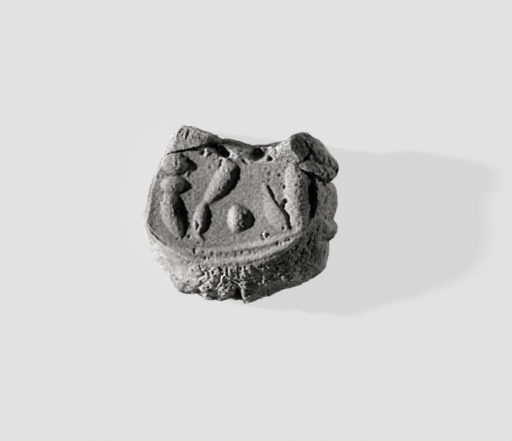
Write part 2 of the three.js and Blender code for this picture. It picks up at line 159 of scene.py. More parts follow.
# The drilled balls: (u, v, reach to the left, reach to the right, reach along v, rise in millimetres,
# power of the fall to the right, power of the whole)
BALLS = [
    (176.5, 164.5, 14.5, 11.5, 11, 0.76, 2, 0.75),
    (174, 185, 13, 10.5, 9.5, 0.76, 2, 0.75),
    (236.5, 218.5, 9, 16.5, 14, 1.1, 1.5, 0.85),
]

# The rim, its two ridges and the groove between them
RIM_FORMS = [
    [(172, 249, 8, 0.1), (190, 257, 11, 0.3), (225, 259.5, 13, 0.42), (250, 256, 13, 0.42),
     (275, 249, 12, 0.42), (298, 236, 9, 0.35), (311, 222, 4, 0.2)],
    [(147, 224, 2.5, 0.14), (155, 235.5, 3, 0.16), (165, 244.5, 3.5, 0.12)],
]
RIDGES = [
    [(172, 248, 3, 0.04), (188, 251, 4, 0.14), (205, 251, 4, 0.2), (222, 249.5, 4.2, 0.24),
     (240, 247, 4.5, 0.3), (262, 243, 4.5, 0.34), (280, 237.5, 4.3, 0.3), (297, 231, 3, 0.14),
     (308, 225, 2, 0.06)],
    [(190, 258, 4, 0.08), (205, 261, 4.5, 0.16), (225, 261.5, 4.5, 0.24), (240, 260, 4.5, 0.32),
     (257, 256.5, 4.5, 0.36), (270, 252.5, 4.5, 0.34), (282, 247.5, 4, 0.2), (294, 239.5, 2, 0.08)],
]
DOTTED_GROOVE = [
    (205, 254, 3.5, 0.4), (225, 255, 4, 0.7), (240, 253.5, 4, 1), (250, 252, 4, 1), (262, 249.5, 4, 1),
    (273, 246.5, 3.5, 0.8), (280, 244, 2.5, 0.2),
]
GROOVE_DEPTH = 0.07  # millimetres

# The dots of that groove: their pitch in pixels, how they slant, their depths as shares, and their noise
DOT_PITCH = 4.6
DOT_SLANT = 0.3
DOT_MEAN, DOT_SWING = 0.9, 0.2
DOT_NOISE = (0.45, 2, 41, 0.8)
DOT_NOISE_SHARE = 2

# Powers of the sections of the rim, of the cuts in the top, and of the forms of the flank and the flake
RIM_POWER = 0.8
CUT_POWER = 0.5
FLANK_POWER = 0.7

# The field across the print: pixels along u, level in millimetres
FIELD_ACROSS = [
    (145, 0.2), (165, 0.24), (185, 0.04), (205, -0.14), (235, -0.18), (250, -0.1), (285, 0.34), (320, 0.34),
]

# Broad swells of the field: (u, v, reach along u, reach along v, rise in millimetres)
SWELLS = [
    (197, 172, 14, 20, -0.16), (166, 210, 12, 22, 0.16), (148, 216, 9, 18, 0.1), (272, 208, 16, 16, 0.14),
    (222, 228, 14, 12, -0.08), (310.5, 196, 6.5, 25, -0.6),
]

# Cuts in the stamped top
CUTS = [
    [(205.5, 149, 2, -0.45), (202.5, 153.5, 2.3, -0.5)],
    [(222.5, 160, 1.1, -0.45), (219, 170, 1, -0.35)],
    [(196.5, 221, 1, -0.35), (198.6, 225.5, 1.4, -0.5), (197, 230, 1, -0.35)],
    [(175, 213, 1.1, -0.3), (178.5, 208.5, 1.3, -0.4), (183.5, 216, 1.1, -0.35)],
    [(176.5, 214.5, 1, -0.25), (178.8, 212, 1.1, -0.3), (181, 216, 1, -0.25)],
    [(268.6, 187, 1.7, -0.28), (271.8, 193, 2, -0.36), (275, 200.5, 1.7, -0.28), (280, 206, 1.5, -0.25),
     (284.8, 212, 1.8, -0.35), (288, 216, 2.2, -0.45), (288.5, 221, 1.5, -0.35)],
    [(244, 161, 1.2, -0.5), (247.5, 164.5, 1.2, -0.5)],
    [(308, 173, 3, -0.15), (313, 181, 3.5, -0.25), (314.5, 196, 3.5, -0.3), (313, 210, 3.5, -0.25),
     (308, 219, 2.5, -0.15)],
    [(194.5, 249, 1, -0.3), (196, 253, 1, -0.3)],
    [(281, 234.5, 1, -0.06), (292, 231.5, 1, -0.07), (300, 228.5, 1, -0.06)],
    [(147, 224.5, 1, -0.25), (153, 232.5, 1.1, -0.3), (160, 238.5, 1.1, -0.25), (168, 245, 1, -0.15)],
    [(212, 139.5, 3, -1.2), (219, 141, 5, -2.4), (230, 142, 4.5, -2.2), (240, 144.5, 5, -2.4),
     (250, 147, 5.5, -2.5), (260, 148, 5.5, -2.3), (267, 147, 3, -0.9)],
    [(203, 146.5, 1.8, -0.8), (207.5, 146, 3.2, -1.7), (212, 145.5, 5, -2.3), (218, 148.5, 5, -2.6),
     (224, 153, 4.6, -2.6), (227.5, 154.5, 3.4, -2.2)],
    [(250, 152, 6, -1.5), (257, 152.5, 8.5, -2.6), (263.5, 150.5, 6.5, -2.6)],
    [(239, 150, 2, -0.7), (240.5, 151, 2, -0.8)],
    [(269, 155.5, 1.8, -0.8), (270.3, 159, 2.4, -1.2)],
]

# Small ridges and crumbs of the stamped top
RAISED = [
    [(206.5, 155.5, 1.5, 0.3), (212, 149.5, 1.6, 0.35)],
    [(230, 149.5, 3, 0.3), (235, 154, 6, 0.4), (240, 157, 5, 0.3)],
    [(243, 156, 2.2, 0.15), (246, 160, 2.2, 0.2), (250.5, 163, 2, 0.15)],
    [(224.5, 146.5, 2.4, 0.5), (228, 148, 2.8, 0.35), (231, 150, 2.6, 0.3)],
    [(210.5, 142.5, 1.2, 0.7), (213, 145, 1.2, 0.6)],
    [(218.5, 146.5, 1.2, 1), (220, 150.5, 1.6, 1.4)],
    [(214, 149.3, 1.3, 1.1), (216.5, 152, 1.4, 1.2)],
    [(244, 149, 1.4, 0.4), (247, 151, 1.4, 0.5)],
    [(262, 148, 1.8, 1), (264, 150, 1.8, 0.8)],
    [(188, 172, 1.3, 0.25), (187, 176, 1.2, 0.2)],
]

# Pits: (u, v, radius along u, radius along v, depth in millimetres)
TOP_PITS = [
    (215.5, 160, 1.4, 1.4, 0.3), (218.6, 158.3, 1.1, 1.1, 0.25), (211, 168, 1, 1.8, 0.25),
    (159.5, 177, 1.2, 1.8, 0.25), (266.5, 168.5, 1.1, 1.2, 0.3), (270, 173.8, 1.6, 1.4, 0.35),
    (269.5, 180.5, 1.3, 1.2, 0.3), (264, 182, 1.1, 1.1, 0.2), (280, 175.5, 1.4, 1.6, 0.35),
    (284.5, 182, 1, 1.6, 0.4), (284.6, 187, 1.5, 2.6, 0.8), (281.6, 184, 1, 1, 0.3),
    (285.6, 201.5, 2.6, 2.6, 1.1), (283.5, 206, 2, 2.2, 0.9), (283.4, 228, 1.6, 2, 0.5),
    (297, 186, 1.6, 1.8, 0.2), (301, 187, 1.2, 1.4, 0.25), (296.5, 193, 1.3, 1.3, 0.15),
    (300, 196, 1.2, 1.2, 0.2), (299, 177, 1.2, 1.5, 0.15), (301, 206, 1.2, 1.4, 0.2),
    (262.3, 234.5, 1.2, 2.6, 0.6), (264, 239, 1.3, 1.2, 0.6), (267, 237, 1.4, 1.2, 0.5),
    (277.4, 243.5, 1.4, 2.2, 0.6), (281, 243.6, 1, 1.2, 0.45), (289, 240, 1.4, 1.4, 0.6),
    (278.5, 257.5, 1.5, 1.8, 0.4), (206, 257.5, 1.5, 1.8, 0.5), (204, 251.5, 1.3, 1.3, 0.3),
    (209.5, 258, 1, 1.2, 0.3), (178.3, 238, 1.1, 1.1, 0.35), (189.8, 236.5, 2, 1.4, 0.35),
    (186, 198.5, 1.1, 1.2, 0.18), (190.5, 195, 1.1, 1.2, 0.2), (190, 199.5, 1, 1, 0.15),
    (160, 204.5, 1.1, 1.1, 0.2), (163.5, 200.5, 1.3, 1.1, 0.25), (165, 203.5, 1.1, 1.3, 0.25),
    (167, 198.5, 1, 1.2, 0.2), (168, 205, 1, 1, 0.15), (197, 249, 1.2, 1.2, 0.3),
    (260, 213, 1.6, 1.4, 0.08), (225, 240, 1.2, 1, 0.1), (199, 243, 1.4, 1, 0.12),
]

# Cracks, ridges and pits of the flank and the foot, along the normals of the clay
FLANK_FORMS = [
    [(199.7, 265.5, 1.1, -0.35), (201.7, 270.2, 1.4, -0.6), (204.3, 273.7, 1.9, -0.9),
     (202.7, 276.3, 1.7, -0.7), (199, 278.5, 1.2, -0.3)],
    [(203.2, 263.5, 1.5, 0.15), (202.5, 267, 1.5, 0.2), (205.2, 271.5, 1.8, 0.28), (208, 277, 1.9, 0.28),
     (212, 283.5, 1.4, 0.18)],
    [(221.5, 264.5, 1.4, -0.5), (220, 267.5, 1.6, -0.7), (222.3, 269.4, 1.3, -0.4)],
    [(227.9, 265.5, 1.2, -0.5), (227.4, 270, 1.4, -0.8), (227.6, 275, 1.2, -0.6)],
    [(223, 274, 1.4, -0.6), (219.4, 278, 2, -0.8), (219.8, 281.5, 1.8, -0.6), (216, 286, 1.2, -0.2)],
    [(229.9, 264.5, 1.2, 0.25), (230, 270, 1.3, 0.28), (229.6, 275, 1.2, 0.22)],
    [(225.6, 269.5, 1.4, 0.25), (225, 274.5, 1.6, 0.3), (221.9, 277.5, 1.6, 0.4), (222, 282.5, 1.6, 0.35),
     (223.2, 287.5, 1.4, 0.2)],
    [(225, 278.5, 2.6, -0.35), (226.5, 281.5, 3, -0.4)],
    [(231.5, 281.3, 1.2, -0.5), (234.6, 283.5, 1.4, -0.6), (238, 286, 1.3, -0.5)],
    [(230.4, 278.4, 1.2, 0.2), (234.2, 280.8, 1.3, 0.3), (238.2, 283, 1.4, 0.3), (240.9, 286.5, 1.4, 0.3),
     (240.7, 290, 1.3, 0.25), (241.5, 294.5, 1.3, 0.22), (244.5, 296.5, 1.2, 0.2)],
    [(238.2, 288, 1.9, -0.4), (237.8, 291.5, 2.2, -0.5), (236, 295.5, 2.2, -0.4)],
    [(231.5, 286.5, 3, 0.3), (231.5, 291, 3.6, 0.4), (230.5, 295, 2.5, 0.25)],
    [(197.3, 290.6, 0.9, -0.3), (201.2, 293.3, 1.2, -0.6), (208.6, 295.8, 1.2, -0.7),
     (216.9, 299, 1.2, -0.6)],
    [(240.7, 264.5, 1.3, -0.4), (241.4, 269, 1.5, -0.6)],
    [(243.6, 264, 1.1, 0.2), (243.4, 269.5, 1.2, 0.22), (247.2, 278.6, 1.1, 0.18)],
    [(246.2, 265, 1, -0.3), (245.6, 268.5, 1.1, -0.3)],
    [(247.2, 270.5, 1.5, -0.3), (250, 275.5, 1.7, -0.3)],
    [(248.9, 264.5, 1, 0.18), (249.8, 269, 1.1, 0.2), (252.8, 273.5, 1, 0.18)],
    [(252.5, 266.5, 2.4, -0.25), (257, 269.5, 2.6, -0.25)],
    [(262, 263, 1.5, -0.2), (261, 275, 1.6, -0.25), (262, 288, 1.6, -0.2)],
    [(268, 289, 1.3, -0.4), (268.5, 296, 1.8, -0.7)],
    [(287.5, 275.5, 1, -0.25), (291, 282, 1.2, -0.35)],
    [(189, 263.5, 1.3, -0.2), (190.5, 262, 1.2, -0.2)],
    [(187, 294, 2.2, -0.5), (190, 293, 2, -0.4)],
    [(176, 279, 1.1, -0.15), (186, 284.5, 1.4, -0.25), (194, 288.5, 1.2, -0.2)],
    [(178, 268, 1.2, 0.1), (190, 276, 1.5, 0.15), (200, 284, 1.4, 0.12)],
    [(333, 236, 1.6, -0.3), (327, 240.5, 1.6, -0.3), (322, 241, 1.2, -0.2)],
    [(312, 232, 1, -0.1), (307, 243, 1.2, -0.15), (301, 254, 1.1, -0.12)],
    [(321, 246, 1.5, -0.25), (318.5, 254, 2.2, -0.4), (314, 262, 1.5, -0.25)],
]
CUT_SHARE = 0.44  # of the listed depths of the flank's cuts
RIDGE_SHARE = 0.16  # of the listed heights of its ridges
FLANK_PITS = [
    (213.5, 272.2, 1.7, 1.6, 0.8), (277, 268, 2.2, 2.2, 0.5), (328, 209, 1.6, 2.2, 0.3),
    (330.5, 214, 1.5, 1.6, 0.3), (234, 276, 1.5, 1.5, 0.35), (210, 290, 1.4, 1.4, 0.35),
    (216.5, 293, 1.8, 1.4, 0.3), (205, 288, 1.2, 1.2, 0.2), (188, 289, 1.2, 1.2, 0.2),
    (182, 286, 1, 1, 0.15), (206.5, 264.8, 1.2, 1.2, 0.3), (215, 264, 1.2, 1.2, 0.3),
    (295, 262, 1.8, 1.6, 0.3), (283, 262, 1.4, 1.6, 0.3), (305, 268, 1.5, 1.8, 0.25),
    (270, 277, 1.5, 1.5, 0.25), (255, 288, 2.2, 1.6, 0.3), (286, 284, 1.5, 1.2, 0.25),
]

# Slits, small ridges and pits of the flake's top
FLAKE_FORMS = [
    [(187.6, 134, 0.9, -0.25), (187.2, 137.5, 1, -0.3)],
    [(185, 137.5, 1, 0.12), (187, 131.5, 1, 0.14)],
    [(200.7, 138, 0.9, -0.2), (199.9, 141, 0.9, -0.2)],
    [(203, 130.5, 1, -0.15), (207.5, 133, 1.1, -0.25)],
]
FLAKE_PITS = [
    (181, 133, 1.2, 1.2, 0.2), (183, 130, 1.1, 1.1, 0.2), (180.5, 137, 1.1, 1.1, 0.18),
    (183.5, 135.5, 1, 1.2, 0.2), (186, 128.8, 1, 1, 0.15), (178.5, 140, 1, 1, 0.12),
    (196, 133, 1, 1, 0.1),
]

# Zones: (u, v, reach along u, reach along v, share)
FLAKE_LIP = [(197, 146, 12, 7, 1)]  # the flake's edge reaches farther over the crack
LOBE_SEAM = [(281, 155, 8, 9, 1)]  # the pad swells to close the seam at the lobe's left edge
LOBE_STEP = [(307, 150, 9, 12, 1)]  # the lobe's steep step in CAD is evened out
CRACK_SHIFT = [(185, 148, 26, 8, -1.6)]  # pixels that the crack under the flake moves by, along +Y
SMOOTH = [(163, 254, 20, 26, 1)]  # the flank was rubbed smooth

# Zones of crumbled clay
CRUMBLED = [
    (212, 280, 24, 17, 0.6), (243, 284, 16, 16, 0.5), (275, 276, 30, 14, 0.35), (305, 245, 14, 24, 0.3),
    (328, 205, 10, 30, 0.25), (234, 153, 9, 7, 0.8), (278, 157, 14, 8, 0.5), (217, 146, 11, 7, 0.9),
    (289, 163, 8, 2.5, 0.5), (208, 253, 8, 6, 0.35), (163, 201, 6, 6, 0.3), (283, 243, 8, 6, 0.35),
    (286, 200, 2.5, 20, 0.1), (184, 135, 9, 8, 0.3), (286, 150, 6, 9, 0.3), (149, 195, 4, 30, 0.2),
]

# Zones of clay with stripes that run round the lump
STRIPED = [(326, 205, 16, 36, 0.9), (318, 250, 20, 26, 1), (290, 265, 24, 16, 0.7)]

# Zones painted paler or, below zero, darker, on faces that look up: painted light and painted shade, such as
# darker shaded sides of the balls and the long oval, a darker broken strip at the top, and paler flanks and
# lobe where light falls
PAINTED_LIGHT_ZONES = [
    (163, 256, 14, 16, 0.6), (330, 205, 10, 36, 0.1), (315, 255, 10, 14, -0.45), (285, 276, 16, 8, 0.3),
    (330, 160, 14, 14, 0.8), (308, 168, 5, 5, 0.1), (322, 158, 10, 14, 1), (181, 287, 14, 7, -0.6),
    (290, 196, 5, 26, 0.2), (275, 278, 30, 12, 0.2), (262, 243, 26, 4, 0.3), (252, 259, 24, 4, 0.4),
    (214, 280, 22, 14, 1.2), (248, 276, 16, 14, 0.35), (303, 268, 14, 8, 0.3), (328, 258, 6, 14, 0.7),
    (234, 153, 7, 5, 0.35), (293, 135, 6, 5, -0.6), (302, 165, 6, 5, -0.55), (313, 146, 7, 7, -0.45),
    (286, 152, 6, 10, -0.12), (303, 147, 8, 9, -0.25), (214, 138, 4, 5, -0.6), (318, 255, 6, 10, -0.6),
    (257, 152, 10, 6, -0.6), (211, 146, 9, 5, -0.9), (238, 142.5, 26, 4.5, -0.95),
    (243.5, 293, 2.5, 9, -0.6), (215, 280, 5, 5, 0.6), (297, 147, 8, 10, -0.4), (302, 135, 13, 5, -0.85),
    (151, 190, 5, 40, -0.65), (157, 216, 8, 16, -0.15), (306, 196, 5, 24, -0.75), (299, 196, 3, 24, -0.3),
    (209, 141, 7, 4, -0.7), (184.5, 165, 4.5, 8, -0.6), (182, 186, 5, 7, -0.65), (244, 218, 5, 10, -0.1),
    (232.5, 218, 4, 11, 0.35), (217, 226, 8, 8, -0.12), (196, 170, 7, 10, 0.25),
]

# Noise: a lattice of random heights, and of random points in its cells
LATTICE = 64
RANDOM_SEED = 29
draws = np.random.default_rng(RANDOM_SEED)
HEIGHTS = draws.random((LATTICE, LATTICE, LATTICE))
JITTERS = draws.random((LATTICE, LATTICE, LATTICE, 3))
SEED_STEP = np.array([17.3, 9.7, 31.1])  # cells by which each seed moves the lattice


def from_lattice(table, cell):
    x, y, z = (cell % LATTICE).T
    return table[x, y, z]


def noise(points, size, seed):
    """Smooth noise from -1 to 1. size is its grain in millimetres, one number or one for each axis."""
    q = points / size + seed * SEED_STEP
    cell = np.floor(q).astype(int)
    part = q - cell
    blend = part**3 * (part * (part * 6 - 15) + 10)
    total = np.zeros(len(q))
    for corner in itertools.product((0, 1), repeat=3):
        weight = np.prod(np.where(corner, blend, 1 - blend), axis=1)
        total += weight * from_lattice(HEIGHTS, cell + np.array(corner))
    return 2 * total - 1


def drift(points, rise, size, seed):
    return rise * noise(points, size, seed)


def drift_vectors(points, rise, size, seed):
    """A drift along each axis, from this seed and the next two."""
    return np.stack([drift(points, rise, size, seed + axis) for axis in range(3)], axis=1)


def fractal(points, size, octaves, seed, gain=0.5):
    """Octaves of noise, each with half the grain of the one before, and its height times the gain."""
    layers = [gain**i * noise(points, np.asarray(size) / 2**i, seed + i) for i in range(octaves)]
    return np.sum(layers, axis=0)


def cells(points, size, seed):
    """Distances to the nearest and second nearest of scattered points, and a random share of the nearest."""
    q = points / size + seed * SEED_STEP
    home = np.floor(q).astype(int)
    first = np.full(len(q), np.inf)
    second = first.copy()
    share = np.zeros(len(q))
    for step in itertools.product((-1, 0, 1), repeat=3):
        cell = home + np.array(step)
        away = np.linalg.norm(cell + from_lattice(JITTERS, cell) - q, axis=1)
        nearer = away < first
        second = np.where(nearer, first, np.minimum(second, away))
        share = np.where(nearer, from_lattice(HEIGHTS, cell), share)
        first = np.minimum(first, away)
    return first, second, share


def ease(low, high, values):
    """0 at low, 1 at high, smooth between them and level beyond."""
    t = np.clip((values - low) / (high - low), 0, 1)
    return t * t * (3 - 2 * t)


# Forms over the photograph
CURVE_STEPS = 6  # from one given point of a swept form to the next


def photo_places(points):
    """Where each point lies in the photograph, in pixels."""
    return MIDDLE_U + points[:, 0] / PIXEL, MIDDLE_V - points[:, 1] / PIXEL


def rounded(path):
    """Points of a swept form on a smooth curve through the given ones."""
    p = np.array(path, float)
    if len(p) < 3:
        return p
    ends = np.vstack([2 * p[0] - p[1], p, 2 * p[-1] - p[-2]])
    out = []
    for a, b, c, d in zip(ends, ends[1:], ends[2:], ends[3:]):
        linear = c - a
        square = 2 * a - 5 * b + 4 * c - d
        cubic = 3 * b - a - 3 * c + d
        for t in np.arange(CURVE_STEPS) / CURVE_STEPS:
            out.append(0.5 * (2 * b + linear * t + square * t**2 + cubic * t**3))
    return np.array([*out, p[-1]])


def swept(path, u, v, power=1.0, lean=0.0):
    """Height of one swept form over each place. The lean makes its right side narrower, its left wider."""
    p = rounded(path)
    reach = p[:, 2].max() * (1 + abs(lean))
    low, high = p[:, :2].min(0) - reach, p[:, :2].max(0) + reach
    near = (u > low[0]) & (u < high[0]) & (v > low[1]) & (v < high[1])
    out = np.zeros(len(u))
    pu, pv = u[near], v[near]
    best = np.zeros(len(pu))
    for a, b in zip(p[:-1], p[1:]):
        du, dv = b[:2] - a[:2]
        t = np.clip(((pu - a[0]) * du + (pv - a[1]) * dv) / (du * du + dv * dv), 0, 1)
        away = np.hypot(pu - a[0] - t * du, pv - a[1] - t * dv)
        half, rise = a[2] + t * (b[2] - a[2]), a[3] + t * (b[3] - a[3])
        half *= 1 - lean * np.sign((pu - a[0]) * dv - (pv - a[1]) * du)
        body = rise * np.clip(1 - (away / half) ** 2, 0, None) ** power
        best = np.where(np.abs(body) > np.abs(best), body, best)
    out[near] = best
    return out


def highest(forms, u, v, power=1.0):
    return np.max([swept(form, u, v, power) for form in forms], axis=0)


def lowest(forms, u, v, power=1.0):
    return np.min([swept(form, u, v, power) for form in forms], axis=0)


def blobs(table, u, v):
    """Sum of soft round zones."""
    total = np.zeros(len(u))
    for cu, cv, ru, rv, share in table:
        total += share * np.exp(-(((u - cu) / ru) ** 2) - ((v - cv) / rv) ** 2)
    return total


def pitted(table, u, v):
    """Depth of the deepest pit over each place."""
    depth = np.zeros(len(u))
    for cu, cv, ru, rv, deep in table:
        bowl = np.clip(1 - ((u - cu) / ru) ** 2 - ((v - cv) / rv) ** 2, 0, 1)
        depth = np.maximum(depth, deep * np.sqrt(bowl))
    return depth


def ball_rise(u, v):
    """Height of the drilled balls over each place."""
    rise = np.zeros(len(u))
    for cu, cv, left, right, along, high, fall, power in BALLS:
        across = np.abs(u - cu) / np.where(u < cu, left, right)
        dome = 1 - across ** np.where(u < cu, 2, fall) - ((v - cv) / along) ** 2
        rise = np.maximum(rise, high * np.clip(dome, 0, 1) ** power)
    return rise


def motif_rise(u, v):
    forms = [swept(form, u, v, power, lean) for power, lean, form in MOTIFS.values()]
    return np.max([*forms, ball_rise(u, v)], axis=0)


def side_of(outline, u, v):
    """Distance in pixels to a closed outline, positive inside it."""
    p = np.array(outline, float)
    away = np.full(len(u), np.inf)
    inside = np.zeros(len(u), bool)
    for a, b in zip(p, np.roll(p, -1, axis=0)):
        du, dv = b - a
        t = np.clip(((u - a[0]) * du + (v - a[1]) * dv) / (du * du + dv * dv), 0, 1)
        away = np.minimum(away, np.hypot(u - a[0] - t * du, v - a[1] - t * dv))
        crosses = (a[1] > v) != (b[1] > v)
        if dv:
            inside ^= crosses & (u < a[0] + (v - a[1]) * du / dv)
    return np.where(inside, away, -away)


def stamped_level(u, v, points):
    """Level of the stamped top over each place, in millimetres."""
    level = FIELD + np.interp(u, *np.array(FIELD_ACROSS).T)
    level += blobs(SWELLS, u, v)
    level += highest(RIM_FORMS, u, v, RIM_POWER)
    level += highest(RIDGES, u, v)
    wave = np.cos(2 * np.pi * (u + DOT_SLANT * v) / DOT_PITCH)
    dots = DOT_MEAN + DOT_SWING * wave + DOT_NOISE_SHARE * fractal(points, *DOT_NOISE)
    level -= GROOVE_DEPTH * swept(DOTTED_GROOVE, u, v, CUT_POWER) * dots
    level += motif_rise(u, v)
    level += highest(RAISED, u, v)
    level += lowest(CUTS, u, v, CUT_POWER)
    level -= pitted(TOP_PITS, u, v)
    return level


# Meshes as arrays
def vectors_of(items, field):
    values = np.empty(len(items) * 3, np.float32)
    items.foreach_get(field, values)
    return values.reshape(-1, 3).astype(float)


def places_of(piece):
    return vectors_of(piece.data.vertices, "co")


def surface_of(piece):
    """Places and normals of a piece."""
    return places_of(piece), vectors_of(piece.data.vertex_normals, "vector")


def set_places(piece, points):
    piece.data.vertices.foreach_set("co", points.astype(np.float32).ravel())
    piece.data.update()


def relax(piece, rounds):
    """Moves each point halfway to the middle of its neighbours, in some rounds."""
    edges = piece.data.edges
    ends = np.empty(len(edges) * 2, np.int32)
    edges.foreach_get("vertices", ends)
    a, b = ends.reshape(-1, 2).T
    point, neighbour = np.r_[a, b], np.r_[b, a]
    places = places_of(piece)
    count = np.bincount(point, minlength=len(places))[:, None]
    for _ in range(rounds):
        sums = [np.bincount(point, places[neighbour, axis], len(places)) for axis in range(3)]
        places += 0.5 * (np.stack(sums, axis=1) / count - places)
    set_places(piece, places)


def apply_modifier(piece, modifier):
    """Gives the piece the mesh that its modifier makes."""
    graph = bpy.context.evaluated_depsgraph_get()
    mesh = bpy.data.meshes.new_from_object(piece.evaluated_get(graph))
    piece.modifiers.remove(modifier)
    old = piece.data
    piece.data = mesh
    bpy.data.meshes.remove(old)


def remesh(piece, size):
    modifier = piece.modifiers.new("remesh", "REMESH")
    modifier.mode = "VOXEL"
    modifier.voxel_size = size
    apply_modifier(piece, modifier)


def thin(piece, hidden, ratio):
    """Keeps a share of the faces where a seam hides them."""
    group = piece.vertex_groups.new(name="hidden")
    group.add(np.flatnonzero(hidden).tolist(), 1.0, "ADD")
    modifier = piece.modifiers.new("thin", "DECIMATE")
    modifier.ratio = ratio
    modifier.vertex_group = group.name
    apply_modifier(piece, modifier)
    piece.vertex_groups.clear()


def add_object(name, data):
    added = bpy.data.objects.new(name, data)
    bpy.context.scene.collection.objects.link(added)
    return added


def copy_of(node):
    """A new piece with a CAD node's shape, in millimetres."""
    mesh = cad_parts[node].data.copy()
    mesh.materials.clear()
    piece = add_object(node + "_clay", mesh)
    set_places(piece, places_of(piece) / METRES)
    work = bmesh.new()
    work.from_mesh(mesh)
    bmesh.ops.remove_doubles(work, verts=work.verts, dist=WELD)
    work.to_mesh(mesh)
    work.free()
    return piece


# The bend of the lump: (rise, grain, seed) of its drifts, and the heights over which it sets in below the
# field. Its part along Z also sets in over some height above the foot, and at some distance from the seam.
BEND_DRIFTS = [(0.6, 3.4, 61), (0.22, 1.4, 64)]
BEND_AT_FIELD = (FIELD + 0.3, FIELD - 2.0)
BEND_AT_FOOT = (0.3, 2.0)
BEND_FROM_SEAM = (0.8, 2.5)


def bent(points):
    """Makes the flank uneven. All masses are bent alike, so that their seams stay closed."""
    z = points[:, 2]
    bend = sum(drift_vectors(points, *row) for row in BEND_DRIFTS)
    bend[:, 2] *= ease(*BEND_AT_FOOT, z) * ease(*BEND_FROM_SEAM, np.abs(z - SEAM))
    return points + bend * ease(*BEND_AT_FIELD, z)[:, None]


# Fitting to the fine outline
ANGLES = 720
OUTLINE_STEPS = 40  # on each side of the outline
FIT_FROM = 0.72  # the share of the way out at which the fit sets in


def turns(points):
    """The direction of each point from the middle, as a share of a full turn."""
    return (np.arctan2(points[:, 1], points[:, 0]) / (2 * np.pi)) % 1


def around(turn, table):
    """Reads a table of directions at shares of a full turn."""
    return np.interp(turn * ANGLES, np.arange(ANGLES), table, period=ANGLES)


def radii(points):
    """The farthest point in each direction from the middle."""
    reach = np.zeros(ANGLES)
    slots = (turns(points) * ANGLES).astype(int) % ANGLES
    np.maximum.at(reach, slots, np.hypot(points[:, 0], points[:, 1]))
    return reach


def outline_radii():
    p = np.array(OUTLINE, float)
    steps = np.linspace(0, 1, OUTLINE_STEPS, endpoint=False)[:, None]
    dense = np.vstack([a + (b - a) * steps for a, b in zip(p, np.roll(p, -1, axis=0))])
    points = np.stack([(dense[:, 0] - MIDDLE_U) * PIXEL, (MIDDLE_V - dense[:, 1]) * PIXEL], axis=1)
    return radii(points)


def filled(reach):
    """Directions that held no point take a value from the nearest ones that did."""
    at = np.flatnonzero(reach)
    return np.interp(np.arange(ANGLES), at, reach[at], period=ANGLES)


def reach_of(points):
    """How far the points reach in each direction or in the two beside it."""
    reach = radii(points)
    return filled(np.maximum.reduce([np.roll(reach, step) for step in (-1, 0, 1)]))


class Fit:
    """Stretches the lump near its edge, so that its outline follows the photographed one."""

    def __init__(self, pieces):
        self.reach = reach_of(np.vstack([places_of(piece) for piece in pieces]))
        self.factor = filled(outline_radii()) / self.reach

    def __call__(self, points):
        turn = turns(points)
        near = ease(FIT_FROM, 1.0, np.hypot(points[:, 0], points[:, 1]) / around(turn, self.reach))
        stretch = 1 + (around(turn, self.factor) - 1) * near
        return points * np.stack([stretch, stretch, np.ones(len(points))], axis=1)


# The clay's texture. A noise is (grain in millimetres, octaves, seed, and the gain where it isn't a half).
# Rises are in millimetres. A fine layer has three: everywhere, more on motifs, and more where it is rough.
SWELL_NOISE, SWELL_RISE = (3.2, 2, 1), 0.05
LUMP_NOISE, LUMP_RISE = (1.1, 3, 5), 0.09
FINE_LAYERS = [((0.42, 2, 9, 0.8), (0.03, 0.045, 0.05)), ((0.9, 1, 11), (0.01, 0.02, 0.02))]
CRUMB_NOISE, CRUMB_RISE = (0.34, 1, 15), 0.07
STRIPE_NOISE, STRIPE_RISE = ((0.34, 1.4, 0.5), 2, 19, 0.6), 0.07

# Where the texture sets in: by a normal's part along Z or X, and by the rise of the motifs
SHOWN = (-0.2, 0.3)
TO_THE_RIGHT = (-0.3, 0.1)
MOTIF_RISES = (0.3, 0.7)
MOTIF_LEFT_SHARE = 0.25  # of the motifs' own grain, on their left sides
ROUGH_HIDDEN, ROUGH_SHOWN = 0.2, 0.35
FIELD_CALM = 0.5  # how much lower the swell is on the field
SMOOTH_CALM, SMOOTH_EASE = 0.9, 0.5  # how much less rough, and how much lower, it is where it was rubbed

# Crumbled clay breaks into blocks with cracks between them: (size, rise, seed), and the drift that warps them
BLOCKS = [(1.25, 0.16, 3), (0.6, 0.2, 13)]
BLOCK_WARP = (0.28, 0.9, 31)
BLOCK_EDGE = (0.0, 0.35)  # distances to the next cell, as shares of its size
BLOCKS_IN_ROUGH = 0.2
CRACK_EDGE = (0.14, 0.0)
CRACK_DEPTH = 0.6  # as a share of a block's rise
CRACK_PATCH_GRAIN, CRACK_PATCH_SEED = 1.6, 5
CRACK_PATCHES = (0.0, 0.5)  # values of that noise over which the cracks open

# Small pits, scattered
PIT_SPACING, PIT_SEED, PIT_DEPTH = 0.9, 21, 0.12
PIT_EDGE = (0.34, 0.12)
PIT_RARITY = 0.66  # the share of places without a pit
PITS_EVERYWHERE, PITS_ON_MOTIFS = 0.12, 0.08

# Stripes run round an upright axis, some millimetres from the middle along -Y, and drift to and fro
STRIPE_AXIS = 2
STRIPE_DRIFT = (0.5, 2.2, 17)
LUMP_RADIUS = 13


def broken_blocks(points):
    """Blocks with cracks between them, a layer for each size."""
    warped = points + drift_vectors(points, *BLOCK_WARP)
    layers = []
    for size, rise, seed in BLOCKS:
        near, far, share = cells(warped, size, seed)
        block = (share - 0.5) * ease(*BLOCK_EDGE, far - near)
        patches = noise(points, CRACK_PATCH_GRAIN, seed + CRACK_PATCH_SEED)
        crack = ease(*CRACK_EDGE, far - near) * ease(*CRACK_PATCHES, patches)
        layers.append(rise * block - CRACK_DEPTH * rise * crack)
    return layers


def scattered_pits(points):
    near, _, share = cells(points, PIT_SPACING, PIT_SEED)
    return ease(*PIT_EDGE, near) * (share > PIT_RARITY)


